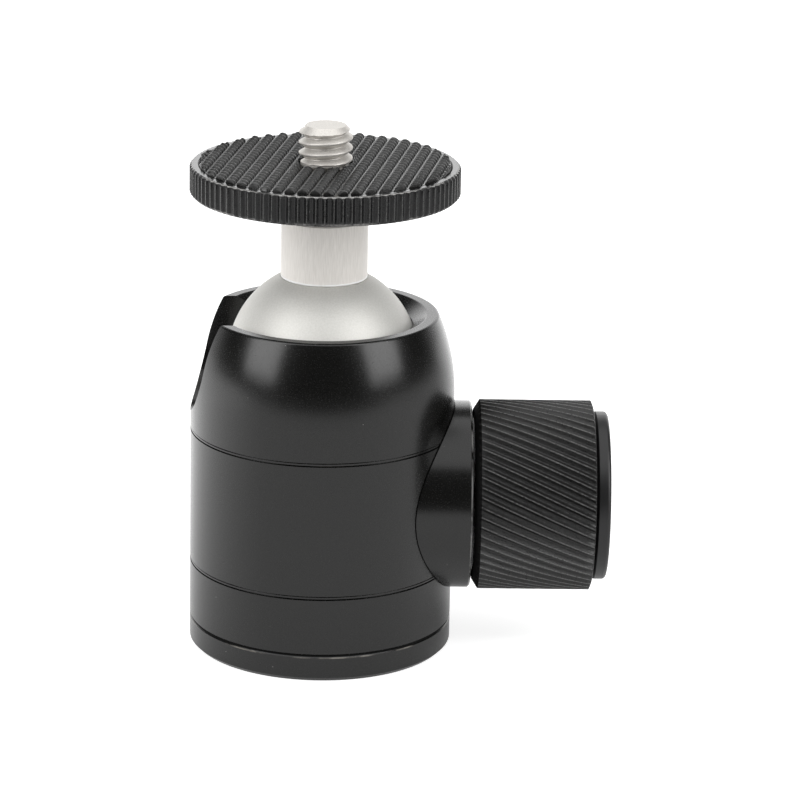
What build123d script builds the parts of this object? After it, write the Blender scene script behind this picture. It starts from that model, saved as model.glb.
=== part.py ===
from build123d import *
import math
import os

# A small tripod ball head. Sizes are in millimetres. The origin is the centre of the base's
# underside and +Z is up. The lock knob points along +X and the notch in the dome opens along -X.

# Ball, neck and camera stud
ball_r = 11.4
ball_z = 35.2                # height of the ball's centre
ball_shoulder = 0.15         # width of the ball's flat outside the neck
neck_r = 5.15
neck_length = 7.3
neck_edge = 0.15
neck_thread_r = 4.0          # M8 end of the neck, screwed into the ball
neck_thread_length = 7.0
stud_r = 3.175               # 1/4"-20 stud
stud_shank_step = 0.2        # the length that the bush runs on is this much thinner
stud_reach = 4.25            # stands this far above the pad's ridges
stud_chamfer = 0.8
stud_depth = 6.0             # length of stud inside the neck

# Camera plate
bush_r = 4.9
bush_height = 2.8            # part of the bush that shows under the plate
plate_r = 15.95
plate_thickness = 3.5
plate_rim = 1.05             # flat ring round the pad's recess
plate_top_edge = 0.3
plate_bottom_edge = 0.35
plate_knurl_count = 96
plate_knurl_depth = 0.35
plate_knurl_crest = 0.2      # crest's share of the knurl spacing
pad_gap = 0.05
pad_sink = 0.9               # depth of the recess that holds the pad
pad_ridge_height = 0.5
pad_ridge_pitch = 1.5
pad_ridge_crest = 0.35
pad_ridge_lean = 10          # degrees that the ridges lean from the Y axis towards +X
pad_hole_gap = 0.4

# Housing
wall_thickness = 4.28        # between the bore and the outside
shoulder_drop = 4.2          # the dome begins this far below the ball's centre
throat_lap = 0.92            # the throat is this much narrower than the bore
funnel_width = 1.7
funnel_angle = 35            # slope of the funnel between the lip and the throat
lip_width = 1.35
lip_edge = 0.35
notch_clearance = 1.3        # between the neck and the sides of the notch
groove_drops = (8.1, 24.55)  # tops of the two grooves, below the ball's centre
groove_width = 0.5
groove_depth = 0.35

# Base plate
base_thickness = 3.2
base_edge = 0.45
seam_edge = 0.22             # bevels that form the dark seam above the base plate
register_height = 2.0
tripod_thread_r = 4.76       # 3/8"-16 hole
boss_wall = 1.44
boss_roof = 3.2
base_screw_count = 3
base_screw_r = 1.0           # M2
base_screw_head_r = 1.75
base_screw_sink = 0.1
base_screw_reach = 5.5       # length of screw in the housing's wall

# Reducer bush, 3/8"-16 outside and 1/4"-20 inside
reducer_sink = 0.4
reducer_bore_r = 3.2
reducer_mouth = 0.5
reducer_slot_width = 1.3
reducer_slot_depth = 1.2

# Lock mechanism, along the knob's axis
knob_drop = 16.85            # the knob's axis is this far below the ball's centre
wedge_angle = 15
wedge_length = 14.5
wedge_half_width = 4.6
wedge_drop = 4.95            # from the knob's axis down to the boss
wedge_rise = 1.95            # from the knob's axis up to the wedge's slope, above the origin
wedge_socket_depth = 2.0
lock_thread_r = 4.0          # M8 screw
lock_thread_pitch = 1.25
lock_turn_count = 1.0        # turns of the knob from tight to loose
lock_tip_step = 1.5
lock_drive_step = 0.7        # flats of the hexagon, in from the thread
collar_step = 0.15           # the collar is this much smaller than the grip
collar_stand = 2.1           # the collar stands out this far beyond the housing
collar_edge = 0.25
collar_gap = 0.1             # dark line between the collar and the housing
spigot_r = 7.5

# Brake cup under the ball
liner_thickness = 1.0
cup_rim_drop = 7.0           # from the ball's centre down to the cup's rim
cup_pocket_wall_gap = 1.5    # round the boss
cup_pocket_roof_gap = 0.6    # above the boss
spring_thickness = 0.5
spring_rise = 1.0
spring_inset = 0.5           # from the pocket to the spring's hole
key_pin_r = 1.0
key_pin_depth = 2.8          # length of the pin in the housing's wall
key_pin_reach = 1.0          # length of the pin in the cup's groove

# Knob
knob_gap = 0.3               # between the collar and the tightened knob
grip_r = 11.42
grip_length = 14.3
grip_thickness = 2.3
grip_rib_count = 60
grip_rib_depth = 0.35
grip_rib_crest = 0.2         # crest's share of the rib spacing
grip_twist = 33              # degrees that the ribs turn over the grip's length
grip_inner_bevel = (0.72, 1.15)
grip_outer_bevel = (0.2, 0.9)
knob_neck_step = 1.3         # the core's neck and the cap are this much smaller than the grip
knob_neck_length = 1.0
cap_thickness = 1.8
cap_edge = 0.45
cap_seam_edge = 0.4          # bevel of the cap next to the grip
cap_plug_step = 1.7          # in from the core's barrel
cap_plug_length = 1.2
cap_recess_depth = 5.2       # recess in the knob's core, under the cap
knob_screw_r = 2.0           # M4 cap screw
knob_screw_length = 7.0
knob_screw_head_r = 3.5
knob_screw_head_height = 2.6
washer_r = 4.4
washer_thickness = 0.6

# Clearances
ball_clearance = 0.12        # between the ball and its seats
slide_gap = 0.05             # sliding and turning pieces, each side
end_gap = 0.2                # ends of slots and travels
seat_gap = 0.02              # faces that meet
cut_margin = 1.0             # cuts reach this far past the surface that they open

# Places worked out from the sizes above
seat_r = ball_r + ball_clearance
housing_r = seat_r + wall_thickness
shoulder_z = ball_z - shoulder_drop
throat_r = seat_r - throat_lap
throat_z = ball_z + math.sqrt(seat_r**2 - throat_r**2)
lip_inner_r = throat_r + funnel_width
lip_outer_r = lip_inner_r + lip_width
lip_z = throat_z + funnel_width * math.tan(math.radians(funnel_angle))
dome_height = lip_z - shoulder_z
dome_inset = housing_r - lip_outer_r
dome_r = (dome_height**2 + dome_inset**2) / (2 * dome_inset)
dome_angle = math.degrees(math.asin(dome_height / dome_r))
notch_half_width = neck_r + notch_clearance

ball_flat_z = ball_z + math.sqrt(ball_r**2 - (neck_r + ball_shoulder) ** 2)
neck_foot_z = ball_flat_z + seat_gap
neck_top_z = neck_foot_z + neck_length
plate_under_z = neck_top_z + bush_height
plate_top_z = plate_under_z + plate_thickness
pad_r = plate_r - plate_rim - pad_gap
recess_floor_z = plate_top_z - pad_sink
pad_top_z = plate_top_z + pad_ridge_height
stud_shank_r = stud_r - stud_shank_step

knob_z = ball_z - knob_drop
lock_travel = lock_thread_pitch * lock_turn_count
spigot_start_x = seat_r + end_gap
wedge_back_x = spigot_start_x - lock_travel - 2 * end_gap
wedge_tip_x = wedge_back_x - wedge_length
lock_tip_r = lock_thread_r - lock_tip_step
lock_drive_r = lock_thread_r - lock_drive_step
collar_r = grip_r - collar_step
collar_end_x = housing_r + collar_stand

register_top_z = base_thickness + register_height
boss_r = tripod_thread_r + boss_wall
boss_top_z = knob_z - wedge_drop
tripod_thread_depth = boss_top_z - boss_roof
reducer_length = tripod_thread_depth - reducer_sink - end_gap
base_screw_circle_r = (seat_r + housing_r - base_edge) / 2

cup_travel = lock_travel * math.tan(math.radians(wedge_angle))
cup_r = seat_r - slide_gap
cup_top_z = ball_z - cup_rim_drop
cup_foot_z = register_top_z + spring_thickness + spring_rise
cup_bowl_r = seat_r + liner_thickness
cup_pocket_r = boss_r + cup_pocket_wall_gap
cup_pocket_z = boss_top_z + cup_pocket_roof_gap
spring_inner_r = cup_pocket_r + spring_inset
spring_outer_r = seat_r - end_gap

grip_start_x = collar_end_x + knob_gap
grip_end_x = grip_start_x + grip_length
knob_barrel_r = grip_r - grip_thickness
knob_neck_r = grip_r - knob_neck_step
neck_end_x = grip_start_x + knob_neck_length
cap_plug_r = knob_barrel_r - cap_plug_step
core_end_x = grip_end_x - seat_gap
cap_recess_x = core_end_x - cap_recess_depth
lock_screw_end_x = cap_recess_x - seat_gap
washer_end_x = cap_recess_x + washer_thickness

lock_axis = Axis((0, 0, knob_z), (1, 0, 0))
lock_plane = Plane(origin=(0, 0, knob_z), x_dir=(0, 1, 0), z_dir=(1, 0, 0))


def across_lock(x, radius):
    """A point of the XZ profile plane, given by its distance from the lock axis."""
    return (x, knob_z + radius)


def wedge_height(x):
    """Height of the wedge's sloping top at a distance x from the ball head's axis."""
    return knob_z + wedge_rise + x * math.tan(math.radians(wedge_angle))


def fluted_outline(count, crest_r, root_r, crest_share):
    """Corners of a fluted circle: each rib has a narrow crest, with a V valley beside it."""
    half_crest = math.pi * crest_share / count
    corners = []
    for rib in range(count):
        middle = 2 * math.pi * rib / count
        valley = middle + math.pi / count
        for radius, angle in (
            (crest_r, middle - half_crest),
            (crest_r, middle + half_crest),
            (root_r, valley),
        ):
            corners.append((radius * math.cos(angle), radius * math.sin(angle)))
    return corners


def bowl_arc(radius, rim_z):
    """Profile arc about the ball's centre, from the axis up to the height of the rim."""
    sweep = math.degrees(math.acos((ball_z - rim_z) / radius))
    return CenterArc((0, ball_z), radius, -90, sweep)


# Housing: a turned shell with a domed top, open below for the ball
with BuildPart() as main_housing:
    with BuildSketch(Plane.XZ):
        with BuildLine():
            foot = Polyline(
                (seat_r, base_thickness),
                (housing_r - seam_edge, base_thickness),
                (housing_r, base_thickness + seam_edge),
                (housing_r, shoulder_z),
            )
            dome = CenterArc((housing_r - dome_r, shoulder_z), dome_r, 0, dome_angle)
            lip = Polyline(dome @ 1, (lip_inner_r, lip_z), (throat_r, throat_z))
            seat = RadiusArc(lip @ 1, (seat_r, ball_z), seat_r)
            Line(seat @ 1, foot @ 0)
        make_face()
    revolve(axis=Axis.Z)
    lip_rims = edges().filter_by(GeomType.CIRCLE).group_by(Axis.Z)[-1]
    fillet(lip_rims, lip_edge)
    # decorative grooves: a bevelled upper side and a square lower side
    with BuildSketch(Plane.XZ):
        for groove_drop in groove_drops:
            top_z = ball_z - groove_drop
            with BuildLine():
                Polyline(
                    (housing_r + groove_depth, top_z + groove_depth),
                    (housing_r - groove_depth, top_z - groove_depth),
                    (housing_r - groove_depth, top_z - groove_width),
                    (housing_r + groove_depth, top_z - groove_width),
                    close=True,
                )
            make_face()
    revolve(axis=Axis.Z, mode=Mode.SUBTRACT)
    # notch that lets the neck lie down to one side
    with BuildSketch(Plane.YZ):
        with Locations((0, ball_z)):
            Circle(notch_half_width)
            Rectangle(2 * notch_half_width, lip_z, align=(Align.CENTER, Align.MIN))
    extrude(amount=-(housing_r + cut_margin), mode=Mode.SUBTRACT)
    # cross hole for the collar's spigot
    with BuildSketch(lock_plane):
        Circle(spigot_r + seat_gap)
    extrude(amount=housing_r + cut_margin, mode=Mode.SUBTRACT)
    # blind hole for the key pin, opposite the cross hole
    with BuildSketch(lock_plane):
        Circle(key_pin_r)
    extrude(amount=-(seat_r + key_pin_depth), mode=Mode.SUBTRACT)
    # screw holes in the foot of the wall
    with BuildSketch(Plane.XY.offset(base_thickness)):
        with PolarLocations(base_screw_circle_r, base_screw_count, start_angle=60):
            Circle(base_screw_r)
    extrude(amount=base_screw_reach, mode=Mode.SUBTRACT)

# Base plate: closes the housing's bore and carries the tripod thread
with BuildPart() as base_plate:
    with BuildSketch(Plane.XZ):
        with BuildLine():
            Polyline(
                (tripod_thread_r + seat_gap, 0),
                (housing_r - base_edge, 0),
                (housing_r, base_edge),
                (housing_r, base_thickness - seam_edge),
                (housing_r - seam_edge, base_thickness),
                (seat_r - seat_gap, base_thickness),
                (seat_r - seat_gap, register_top_z),
                (boss_r, register_top_z),
                (boss_r, boss_top_z),
                (0, boss_top_z),
                (0, tripod_thread_depth),
                (tripod_thread_r + seat_gap, tripod_thread_depth),
                close=True,
            )
        make_face()
    revolve(axis=Axis.Z)
    with Locations(Location((0, 0, 0), (180, 0, 0))):
        with PolarLocations(base_screw_circle_r, base_screw_count, start_angle=60):
            CounterSinkHole(
                radius=base_screw_r + slide_gap,
                counter_sink_radius=base_screw_head_r + base_screw_sink,
                depth=base_thickness,
                counter_sink_angle=90,
            )

# Countersunk screws that hold the base plate to the housing
screw_head_height = base_screw_head_r - base_screw_r
screw_tip_z = base_thickness + base_screw_reach - base_screw_sink
with BuildPart() as base_screws:
    with BuildSketch(Plane.XZ):
        with BuildLine():
            Polyline(
                (0, base_screw_sink),
                (base_screw_head_r, base_screw_sink),
                (base_screw_r, base_screw_sink + screw_head_height),
                (base_screw_r, screw_tip_z),
                (0, screw_tip_z),
                close=True,
            )
        make_face()
    single_screw = revolve(axis=Axis.Z, mode=Mode.PRIVATE)
    with PolarLocations(base_screw_circle_r, base_screw_count, start_angle=60):
        add(single_screw)

# Reducer bush in the base's tripod thread, slotted for a screwdriver
with BuildPart(Plane.XY.offset(reducer_sink)) as reducer_bush:
    Cylinder(tripod_thread_r, reducer_length, align=(Align.CENTER, Align.CENTER, Align.MIN))
    Cylinder(
        reducer_bore_r,
        reducer_length,
        align=(Align.CENTER, Align.CENTER, Align.MIN),
        mode=Mode.SUBTRACT,
    )
    mouth = edges().filter_by(GeomType.CIRCLE).group_by(Axis.Z)[0].sort_by(SortBy.RADIUS)[0]
    chamfer(mouth, reducer_mouth)
    Box(
        reducer_slot_width,
        2 * tripod_thread_r,
        reducer_slot_depth,
        align=(Align.CENTER, Align.CENTER, Align.MIN),
        mode=Mode.SUBTRACT,
    )

# Collar: a sleeve with a fish-mouth end that fits the housing's side
with BuildPart() as lock_collar:
    with BuildSketch(lock_plane):
        Circle(collar_r)
    extrude(amount=collar_end_x)
    chamfer(faces().sort_by(Axis.X)[-1].edges(), collar_edge)
    with BuildSketch(Plane.XY):
        Circle(housing_r + collar_gap)
    extrude(amount=knob_z + collar_r + cut_margin, mode=Mode.SUBTRACT)
    with BuildSketch(lock_plane.offset(spigot_start_x)):
        Circle(spigot_r)
    extrude(amount=collar_end_x - collar_edge - spigot_start_x)
    with BuildSketch(lock_plane):
        Circle(lock_thread_r + slide_gap)
    extrude(amount=collar_end_x, mode=Mode.SUBTRACT)

# Key pin: keeps the brake cup from turning
with BuildPart() as key_pin:
    with BuildSketch(lock_plane.offset(-(seat_r - key_pin_reach))):
        Circle(key_pin_r)
    extrude(amount=-(key_pin_reach + key_pin_depth - seat_gap))

# Disc spring: keeps a light drag on the ball when the knob is loose
with BuildPart() as disc_spring:
    with BuildSketch(Plane.XZ):
        with BuildLine():
            Polyline(
                (spring_outer_r, register_top_z),
                (spring_outer_r, register_top_z + spring_thickness),
                (spring_inner_r, cup_foot_z),
                (spring_inner_r, cup_foot_z - spring_thickness),
                close=True,
            )
        make_face()
    revolve(axis=Axis.Z)

# Brake cup: a piston in the housing's bore, raised by the wedge
with BuildPart() as brake_cup:
    with BuildSketch(Plane.XZ):
        with BuildLine():
            bowl = bowl_arc(cup_bowl_r, cup_top_z)
            Polyline(
                bowl @ 1,
                (cup_r, cup_top_z),
                (cup_r, cup_foot_z),
                (cup_pocket_r, cup_foot_z),
                (cup_pocket_r, cup_pocket_z),
                (0, cup_pocket_z),
                bowl @ 0,
            )
        make_face()
    revolve(axis=Axis.Z)
    # slot with a sloping roof for the wedge
    slot_tip_x = wedge_tip_x - end_gap
    slot_end_x = cup_r + cut_margin
    slot_foot_z = cup_foot_z - cut_margin
    with BuildSketch(Plane.XZ):
        with BuildLine():
            Polyline(
                (slot_tip_x, slot_foot_z),
                (slot_tip_x, wedge_height(slot_tip_x) + slide_gap),
                (slot_end_x, wedge_height(slot_end_x) + slide_gap),
                (slot_end_x, slot_foot_z),
                close=True,
            )
        make_face()
    extrude(amount=wedge_half_width + slide_gap, both=True, mode=Mode.SUBTRACT)
    # groove for the key pin, long enough for the cup's travel
    groove_top_z = knob_z + key_pin_r + cup_travel + end_gap
    with BuildSketch(Plane.XY.offset(slot_foot_z)):
        with Locations((-cup_r, 0)):
            Rectangle(2 * (key_pin_reach + end_gap), 2 * (key_pin_r + slide_gap))
    extrude(amount=groove_top_z - slot_foot_z, mode=Mode.SUBTRACT)

# Liner: the low-friction bowl that touches the ball
with BuildPart() as cup_liner:
    with BuildSketch(Plane.XZ):
        with BuildLine():
            inside = bowl_arc(seat_r, cup_top_z)
            outside = bowl_arc(cup_bowl_r - seat_gap, cup_top_z)
            Line(inside @ 0, outside @ 0)
            Line(inside @ 1, outside @ 1)
        make_face()
    revolve(axis=Axis.Z)

# Wedge: slides on the boss and lifts the cup
with BuildPart() as lock_wedge:
    with BuildSketch(Plane.XZ):
        with BuildLine():
            Polyline(
                (wedge_tip_x, boss_top_z + slide_gap),
                (wedge_tip_x, wedge_height(wedge_tip_x)),
                (wedge_back_x, wedge_height(wedge_back_x)),
                (wedge_back_x, boss_top_z + slide_gap),
                close=True,
            )
        make_face()
    extrude(amount=wedge_half_width, both=True)
    # socket for the lock screw's tip
    with BuildSketch(lock_plane.offset(wedge_back_x)):
        Circle(lock_tip_r + slide_gap)
    extrude(amount=-wedge_socket_depth, mode=Mode.SUBTRACT)

# Lock screw: tip in the wedge, thread in the collar, hexagon in the knob's core
with BuildPart() as lock_screw:
    tip_x = wedge_back_x - wedge_socket_depth + slide_gap
    thread_x = wedge_back_x + slide_gap
    with BuildSketch(Plane.XZ):
        with BuildLine():
            Polyline(
                across_lock(tip_x, 0),
                across_lock(tip_x, lock_tip_r),
                across_lock(thread_x, lock_tip_r),
                across_lock(thread_x, lock_thread_r),
                across_lock(grip_start_x, lock_thread_r),
                across_lock(grip_start_x, 0),
                close=True,
            )
        make_face()
    revolve(axis=lock_axis)
    with BuildSketch(lock_plane.offset(grip_start_x)):
        RegularPolygon(lock_drive_r, 6, major_radius=False)
    extrude(amount=lock_screw_end_x - grip_start_x)
    with BuildSketch(lock_plane.offset(lock_screw_end_x)):
        Circle(knob_screw_r)
    extrude(amount=-(knob_screw_length + end_gap), mode=Mode.SUBTRACT)

# Knob core: neck, barrel under the grip, and a recess for the screw head
with BuildPart() as knob_core:
    with BuildSketch(Plane.XZ):
        with BuildLine():
            Polyline(
                across_lock(grip_start_x, 0),
                across_lock(grip_start_x, knob_neck_r),
                across_lock(neck_end_x, knob_neck_r),
                across_lock(neck_end_x, knob_barrel_r),
                across_lock(core_end_x, knob_barrel_r),
                across_lock(core_end_x, cap_plug_r),
                across_lock(cap_recess_x, cap_plug_r),
                across_lock(cap_recess_x, 0),
                close=True,
            )
        make_face()
    revolve(axis=lock_axis)
    with BuildSketch(lock_plane.offset(grip_start_x)):
        RegularPolygon(lock_drive_r + seat_gap, 6, major_radius=False)
    extrude(amount=cap_recess_x - grip_start_x, mode=Mode.SUBTRACT)

# Grip: a rubber sleeve with helical ribs, bevelled at both ends
with BuildSketch(lock_plane.offset(grip_start_x)) as grip_outline:
    with BuildLine():
        Polyline(
            *fluted_outline(grip_rib_count, grip_r, grip_r - grip_rib_depth, grip_rib_crest),
            close=True,
        )
    make_face()
ribbed_bar = Solid.extrude_linear_with_rotation(
    grip_outline.sketch.face(),
    center=(grip_start_x, 0, knob_z),
    normal=(grip_length, 0, 0),
    angle=grip_twist,
)
with BuildPart() as knob_grip:
    add(ribbed_bar)
    inner_bevel_x, inner_bevel_r = grip_inner_bevel
    outer_bevel_x, outer_bevel_r = grip_outer_bevel
    with BuildSketch(Plane.XZ):
        with BuildLine():
            Polyline(
                across_lock(neck_end_x + seat_gap, knob_barrel_r + seat_gap),
                across_lock(neck_end_x + seat_gap, knob_neck_r + seat_gap),
                across_lock(grip_start_x, knob_neck_r + seat_gap),
                across_lock(grip_start_x, grip_r - inner_bevel_r),
                across_lock(grip_start_x + inner_bevel_x, grip_r),
                across_lock(grip_end_x - outer_bevel_x, grip_r),
                across_lock(grip_end_x, grip_r - outer_bevel_r),
                across_lock(grip_end_x, knob_barrel_r + seat_gap),
                close=True,
            )
        make_face()
    revolve(axis=lock_axis, mode=Mode.INTERSECT)

# Washer and cap screw that hold the knob's core on the lock screw
with BuildPart(lock_plane.offset(cap_recess_x)) as knob_washer:
    Cylinder(washer_r, washer_thickness, align=(Align.CENTER, Align.CENTER, Align.MIN))
    Hole(knob_screw_r + slide_gap)

with BuildPart(lock_plane.offset(washer_end_x)) as knob_screw:
    Cylinder(
        knob_screw_head_r,
        knob_screw_head_height,
        align=(Align.CENTER, Align.CENTER, Align.MIN),
    )
    Cylinder(
        knob_screw_r,
        knob_screw_length + washer_thickness,
        align=(Align.CENTER, Align.CENTER, Align.MAX),
    )

# Cap: a disc with a rounded edge, plugged into the knob's core
with BuildPart() as knob_cap:
    with BuildSketch(Plane.XZ):
        with BuildLine():
            Polyline(
                across_lock(grip_end_x - cap_plug_length, 0),
                across_lock(grip_end_x - cap_plug_length, cap_plug_r - seat_gap),
                across_lock(grip_end_x, cap_plug_r - seat_gap),
                across_lock(grip_end_x, knob_neck_r - cap_seam_edge),
                across_lock(grip_end_x + cap_seam_edge, knob_neck_r),
                across_lock(grip_end_x + cap_thickness, knob_neck_r),
                across_lock(grip_end_x + cap_thickness, 0),
                close=True,
            )
        make_face()
    revolve(axis=lock_axis)
    fillet(faces().sort_by(Axis.X)[-1].edges(), cap_edge)

# Ball: a sphere with a flat and a threaded hole for the neck
with BuildPart() as ball:
    with Locations((0, 0, ball_z)):
        Sphere(ball_r)
    split(bisect_by=Plane.XY.offset(ball_flat_z), keep=Keep.BOTTOM)
    with BuildSketch(Plane.XY.offset(ball_flat_z)):
        Circle(neck_thread_r + slide_gap)
    extrude(amount=-(neck_thread_length + end_gap), mode=Mode.SUBTRACT)

# Neck: a plain post, screwed into the ball and bored for the camera stud
with BuildPart(Plane.XY.offset(neck_foot_z)) as neck:
    Cylinder(neck_r, neck_length, align=(Align.CENTER, Align.CENTER, Align.MIN))
    chamfer(edges().filter_by(GeomType.CIRCLE), neck_edge)
    Cylinder(neck_thread_r, neck_thread_length, align=(Align.CENTER, Align.CENTER, Align.MAX))
    with BuildSketch(Plane.XY.offset(neck_top_z)):
        Circle(stud_shank_r + seat_gap)
    extrude(amount=-(stud_depth + seat_gap), mode=Mode.SUBTRACT)

# Camera stud: full size above the pad, with a shank that the bush runs on
with BuildPart(Plane.XY.offset(pad_top_z)) as camera_stud:
    Cylinder(stud_r, stud_reach, align=(Align.CENTER, Align.CENTER, Align.MIN))
    chamfer(faces().sort_by(Axis.Z)[-1].edges(), stud_chamfer)
    Cylinder(
        stud_shank_r,
        pad_top_z - neck_top_z + stud_depth,
        align=(Align.CENTER, Align.CENTER, Align.MAX),
    )

# Plate bush: threaded on the stud, carries the camera plate
with BuildPart(Plane.XY.offset(neck_top_z + seat_gap)) as plate_bush:
    Cylinder(
        bush_r,
        recess_floor_z - neck_top_z - 2 * seat_gap,
        align=(Align.CENTER, Align.CENTER, Align.MIN),
    )
    Hole(stud_shank_r + slide_gap)

# Camera plate: a knurled disc with a recess for the pad
with BuildPart() as camera_plate:
    with BuildSketch(Plane.XY.offset(plate_under_z)):
        with BuildLine():
            Polyline(
                *fluted_outline(
                    plate_knurl_count,
                    plate_r,
                    plate_r - plate_knurl_depth,
                    plate_knurl_crest,
                ),
                close=True,
            )
        make_face()
    extrude(amount=plate_thickness)
    with BuildSketch(Plane.XZ):
        with BuildLine():
            Polyline(
                (bush_r + slide_gap, plate_under_z),
                (plate_r - plate_bottom_edge, plate_under_z),
                (plate_r, plate_under_z + plate_bottom_edge),
                (plate_r, plate_top_z - plate_top_edge),
                (plate_r - plate_top_edge, plate_top_z),
                (pad_r + pad_gap, plate_top_z),
                (pad_r + pad_gap, recess_floor_z),
                (bush_r + slide_gap, recess_floor_z),
                close=True,
            )
        make_face()
    revolve(axis=Axis.Z, mode=Mode.INTERSECT)

# Pad: a rubber disc with parallel ridges
with BuildPart() as plate_pad:
    with BuildSketch(Plane.XY.offset(recess_floor_z + seat_gap)):
        Circle(pad_r)
    extrude(amount=plate_top_z - recess_floor_z - seat_gap)
    lean = math.radians(pad_ridge_lean)
    ridge_plane = Plane(
        origin=(0, 0, plate_top_z),
        x_dir=(math.cos(lean), -math.sin(lean), 0),
        z_dir=(-math.sin(lean), -math.cos(lean), 0),
    )
    ridge_count = int(2 * pad_r / pad_ridge_pitch)
    with BuildSketch(ridge_plane):
        with GridLocations(pad_ridge_pitch, 1, ridge_count, 1):
            Trapezoid(
                pad_ridge_pitch,
                pad_ridge_height,
                math.degrees(math.atan2(2 * pad_ridge_height, pad_ridge_pitch - pad_ridge_crest)),
                align=(Align.CENTER, Align.MIN),
            )
    extrude(amount=pad_r, both=True)
    with BuildSketch(Plane.XY.offset(recess_floor_z)):
        Circle(pad_r)
        Circle(stud_r + pad_hole_gap, mode=Mode.SUBTRACT)
    extrude(amount=pad_sink + pad_ridge_height, mode=Mode.INTERSECT)

os.makedirs("parts", exist_ok=True)

main_housing.part.label = "main_housing"
export_step(main_housing.part, "parts/main_housing.step")
base_plate.part.label = "base_plate"
export_step(base_plate.part, "parts/base_plate.step")
base_screws.part.label = "base_screws"
export_step(base_screws.part, "parts/base_screws.step")
reducer_bush.part.label = "reducer_bush"
export_step(reducer_bush.part, "parts/reducer_bush.step")
lock_collar.part.label = "lock_collar"
export_step(lock_collar.part, "parts/lock_collar.step")
key_pin.part.label = "key_pin"
export_step(key_pin.part, "parts/key_pin.step")
disc_spring.part.label = "disc_spring"
export_step(disc_spring.part, "parts/disc_spring.step")
brake_cup.part.label = "brake_cup"
export_step(brake_cup.part, "parts/brake_cup.step")
cup_liner.part.label = "cup_liner"
export_step(cup_liner.part, "parts/cup_liner.step")
lock_wedge.part.label = "lock_wedge"
export_step(lock_wedge.part, "parts/lock_wedge.step")
lock_screw.part.label = "lock_screw"
export_step(lock_screw.part, "parts/lock_screw.step")
knob_core.part.label = "knob_core"
export_step(knob_core.part, "parts/knob_core.step")
knob_grip.part.label = "knob_grip"
export_step(knob_grip.part, "parts/knob_grip.step")
knob_washer.part.label = "knob_washer"
export_step(knob_washer.part, "parts/knob_washer.step")
knob_screw.part.label = "knob_screw"
export_step(knob_screw.part, "parts/knob_screw.step")
knob_cap.part.label = "knob_cap"
export_step(knob_cap.part, "parts/knob_cap.step")
ball.part.label = "ball"
export_step(ball.part, "parts/ball.step")
neck.part.label = "neck"
export_step(neck.part, "parts/neck.step")
camera_stud.part.label = "camera_stud"
export_step(camera_stud.part, "parts/camera_stud.step")
plate_bush.part.label = "plate_bush"
export_step(plate_bush.part, "parts/plate_bush.step")
camera_plate.part.label = "camera_plate"
export_step(camera_plate.part, "parts/camera_plate.step")
plate_pad.part.label = "plate_pad"
export_step(plate_pad.part, "parts/plate_pad.step")
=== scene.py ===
import math

import bmesh
import bpy
from mathutils import Matrix, Vector


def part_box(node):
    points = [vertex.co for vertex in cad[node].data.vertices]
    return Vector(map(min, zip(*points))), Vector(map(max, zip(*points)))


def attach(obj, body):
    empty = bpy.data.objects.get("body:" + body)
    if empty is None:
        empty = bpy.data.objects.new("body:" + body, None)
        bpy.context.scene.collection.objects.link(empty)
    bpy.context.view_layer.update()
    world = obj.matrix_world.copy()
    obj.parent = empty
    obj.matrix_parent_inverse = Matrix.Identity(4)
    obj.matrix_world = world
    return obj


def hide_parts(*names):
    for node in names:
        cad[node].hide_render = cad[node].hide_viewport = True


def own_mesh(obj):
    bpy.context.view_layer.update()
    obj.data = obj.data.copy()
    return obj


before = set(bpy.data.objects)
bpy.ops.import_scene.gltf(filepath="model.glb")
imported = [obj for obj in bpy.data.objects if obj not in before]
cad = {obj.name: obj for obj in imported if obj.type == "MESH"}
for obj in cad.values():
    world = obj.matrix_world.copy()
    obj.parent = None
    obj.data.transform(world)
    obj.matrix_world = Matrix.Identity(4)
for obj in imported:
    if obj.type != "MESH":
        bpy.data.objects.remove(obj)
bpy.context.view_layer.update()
scene = bpy.context.scene
mm = 0.001  # lengths below are mm unless a comment says otherwise, and heights are over the base
fullTurn = 2 * math.pi
plateLow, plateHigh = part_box("camera_plate")
gripLow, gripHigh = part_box("knob_grip")
studLow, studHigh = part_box("camera_stud")
padLow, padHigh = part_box("plate_pad")
bushLow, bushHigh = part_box("reducer_bush")
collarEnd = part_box("lock_collar")[1].x / mm
ballLow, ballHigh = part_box("ball")
lockHeight = (gripHigh.z + gripLow.z) / 2 / mm
gripRadius = gripHigh.z / mm - lockHeight
plateRadius, plateTop = plateHigh.x / mm, plateHigh.z / mm
ballRadius, neckRadius = ballHigh.x / mm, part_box("neck")[1].x / mm
# mm, where the neck's side meets the ball
neckFoot = ballLow.z / mm + ballRadius + math.sqrt(ballRadius ** 2 - neckRadius ** 2)
seamHeight = 3.2  # mm, where the housing stands on the base plate
grooveTops = (10.65, 27.1)  # mm, the upper edges of the two decorative grooves
upAxis, lockAxis = (0, 0, 1), (1, 0, 0)
print("frame loaded:", len(cad), "nodes")


def hexColour(text):  # sRGB hex to the linear colour that nodes take
    parts = [int(text[i:i + 2], 16) / 255 for i in (1, 3, 5)]
    linear = [p / 12.92 if p <= 0.04045 else ((p + 0.055) / 1.055) ** 2.4 for p in parts]
    return (*linear, 1.0)


def addNode(tree, kind, settings, inputs):  # a node with its settings, and its values or links
    node = tree.nodes.new(kind)
    for name, value in settings.items():
        setattr(node, name, value)
    for key, value in inputs.items():
        if isinstance(value, bpy.types.NodeSocket):
            tree.links.new(value, node.inputs[key])
        else:
            node.inputs[key].default_value = value
    return node


def addObject(name, data):
    made = bpy.data.objects.new(name, data)
    scene.collection.objects.link(made)
    return made


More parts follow.
